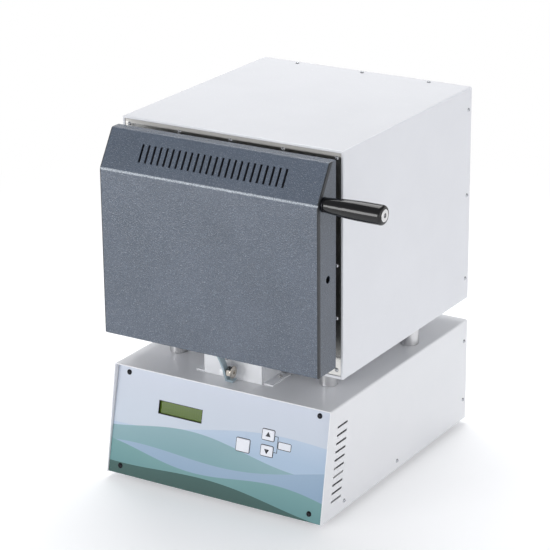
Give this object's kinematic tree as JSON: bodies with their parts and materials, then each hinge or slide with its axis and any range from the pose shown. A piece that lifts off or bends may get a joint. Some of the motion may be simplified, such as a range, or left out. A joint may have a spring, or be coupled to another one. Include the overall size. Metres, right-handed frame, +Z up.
{
  "type": "dental lab furnace",
  "caption": "Bench dental furnace: an insulated muffle housing stands on posts above a sloped control base, with a drop-down door on a curved arm and a revolving side handle.",
  "frame": {"origin": "on the floor, on the centre line, midway between the front and the back of the base", "axes": "+X to the operator's right, +Y towards the back, +Z up; the door is at -Y and the height is the longest extent"},
  "size_m": [0.4171, 0.436, 0.4935],
  "materials": {
    "white_enamel": "satin",
    "slate_hammer_enamel": "satin",
    "printed_film": "satin",
    "stainless_sheet": "satin",
    "zinc_plated_steel": "satin",
    "turned_steel": "satin",
    "polished_steel": "polished",
    "blackened_steel": "satin",
    "black_rubber": "matte",
    "black_plastic": "gloss",
    "black_housing_plastic": "matte",
    "white_key_plastic": "satin",
    "board_laminate": "satin",
    "display_glass": "gloss",
    "laminated_core": "satin",
    "finned_aluminium": "satin",
    "pale_plastic": "satin",
    "nickel_plated_brass": "satin",
    "ceramic_fibre_board": "matte",
    "fired_ceramic": "matte",
    "heating_alloy": "matte"
  },
  "bodies": {
    "furnace": {"feet": "black_rubber", "foot_screws": "zinc_plated_steel", "base_tray": "white_enamel", "base_cover": "white_enamel", "base_rear_panel": "white_enamel", "base_screws": "zinc_plated_steel", "panel_rails": "zinc_plated_steel", "panel_plate": "white_enamel", "panel_film": "printed_film", "panel_screws": "blackened_steel", "control_board": "board_laminate", "board_spacers": "zinc_plated_steel", "display_module": "black_housing_plastic", "display_glass": "display_glass", "transformer": "laminated_core", "relay_heatsink": "finned_aluminium", "solid_state_relay": "pale_plastic", "terminal_strip": "pale_plastic", "mains_inlet": "black_housing_plastic", "inlet_pins": "nickel_plated_brass", "switch_frame": "black_housing_plastic", "standoffs": "turned_steel", "standoff_bolts": "zinc_plated_steel", "hinge_bracket": "white_enamel", "bracket_screws": "zinc_plated_steel", "pivot_bolt": "zinc_plated_steel", "pivot_nut": "zinc_plated_steel", "wiring_duct": "zinc_plated_steel", "housing_floor": "white_enamel", "housing_cover": "white_enamel", "housing_cover_screws": "zinc_plated_steel", "housing_rear_panel": "white_enamel", "front_panel": "stainless_sheet", "front_panel_screws": "zinc_plated_steel", "insulation_bottom": "ceramic_fibre_board", "insulation_roof": "ceramic_fibre_board", "insulation_sides": "ceramic_fibre_board", "insulation_back": "ceramic_fibre_board", "muffle_floor": "fired_ceramic", "muffle_roof": "fired_ceramic", "muffle_sides": "fired_ceramic", "muffle_back": "fired_ceramic", "hearth_tile": "fired_ceramic", "heating_coils": "heating_alloy", "thermocouple": "fired_ceramic", "fume_outlet": "stainless_sheet"},
    "door": {"door_cover": "slate_hammer_enamel", "door_back_plate": "stainless_sheet", "door_insulation": "ceramic_fibre_board", "door_carrier": "zinc_plated_steel", "door_arm": "zinc_plated_steel", "arm_screws": "zinc_plated_steel", "handle_collar": "blackened_steel", "handle_spindle": "polished_steel"},
    "grip": {"handle_grip": "black_plastic"},
    "enter_key": {"key_enter": "white_key_plastic"},
    "up_key": {"key_up": "white_key_plastic"},
    "down_key": {"key_down": "white_key_plastic"},
    "rocker": {"switch_rocker": "black_housing_plastic"}
  },
  "joints": [
    {"name": "door_hinge", "type": "hinge", "parent": "furnace", "child": "door", "pos_m": [0, -0.16, 0.173], "axis": [1, 0, 0], "range_deg": [0, 90]},
    {"name": "grip_spin", "type": "hinge", "parent": "door", "child": "grip", "pos_m": [0.2065, -0.1875, 0.435], "axis": [1, 0, 0], "continuous": true},
    {"name": "enter_press", "type": "slide", "parent": "furnace", "child": "enter_key", "axis": [0, 0.9752, -0.2214], "range_m": [0, 0.0006], "stiffness_N_per_m": 800, "springref_m": -0.0003},
    {"name": "up_press", "type": "slide", "parent": "furnace", "child": "up_key", "axis": [0, 0.9752, -0.2214], "range_m": [0, 0.0006], "stiffness_N_per_m": 800, "springref_m": -0.0003},
    {"name": "down_press", "type": "slide", "parent": "furnace", "child": "down_key", "axis": [0, 0.9752, -0.2214], "range_m": [0, 0.0006], "stiffness_N_per_m": 800, "springref_m": -0.0003},
    {"name": "power_rock", "type": "hinge", "parent": "furnace", "child": "rocker", "pos_m": [0.044, 0.2005, 0.054], "axis": [1, 0, 0], "range_deg": [-20, 0]}
  ]
}
